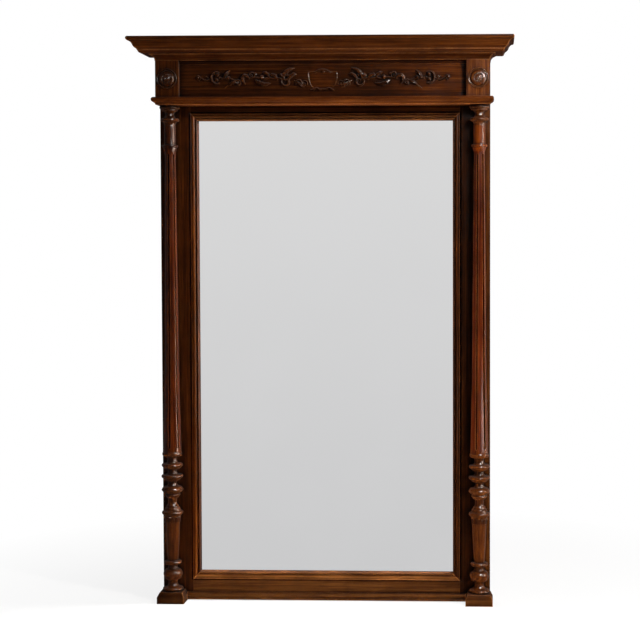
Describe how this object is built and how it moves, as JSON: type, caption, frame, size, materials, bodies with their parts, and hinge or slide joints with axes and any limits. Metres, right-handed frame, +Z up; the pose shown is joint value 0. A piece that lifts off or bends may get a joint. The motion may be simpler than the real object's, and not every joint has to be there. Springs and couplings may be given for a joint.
{
  "type": "full-length mirror",
  "caption": "Full-length pier mirror: a dark oak frame with fluted turned columns, a carved frieze between blocks and a projecting cornice.",
  "frame": {"origin": "on the floor, at the middle of the outline in plan", "axes": "+X to the right as seen from the front, +Y to the back, +Z up; the glass faces -Y"},
  "size_m": [1.174, 0.166, 1.75],
  "materials": {
    "oak": "dark stained oak, waxed",
    "oak_dark": "darker stained oak, waxed",
    "oak_light": "stained oak, rubbed lighter on its edges",
    "pine": "bare softwood",
    "steel": "dull steel",
    "mirror_glass": "silvered glass"
  },
  "bodies": {
    "root": {"left_stile": "oak_dark", "right_stile": "oak_dark", "top_rail": "oak_dark", "bottom_rail": "oak", "tenon_pegs": "pine", "sight_moulding_left": "oak_light", "sight_moulding_right": "oak_light", "sight_moulding_top": "oak_light", "sight_moulding_bottom": "oak_light", "mirror_glass": "mirror_glass", "glass_blocks": "pine", "backboard_lower": "pine", "backboard_middle": "pine", "backboard_upper": "pine", "backboard_screws": "steel", "base_ledge": "oak", "plinth_left": "oak", "plinth_right": "oak", "column_left": "oak", "column_right": "oak", "column_dowels": "pine", "shelf_board": "oak", "frieze_board": "oak_dark", "frieze_carving": "oak_light", "frieze_block_left": "oak", "frieze_block_right": "oak", "rosette_left": "oak_light", "rosette_right": "oak_light", "bed_mould_front": "oak_dark", "bed_mould_left": "oak_dark", "bed_mould_right": "oak_dark", "corona_board": "oak", "crown_front": "oak", "crown_left": "oak", "crown_right": "oak", "cornice_back_rail": "pine", "cornice_blocks": "pine", "dust_board": "pine", "hanging_plate_left": "steel", "hanging_plate_right": "steel", "hanging_plate_screws": "steel"}
  },
  "joints": []
}
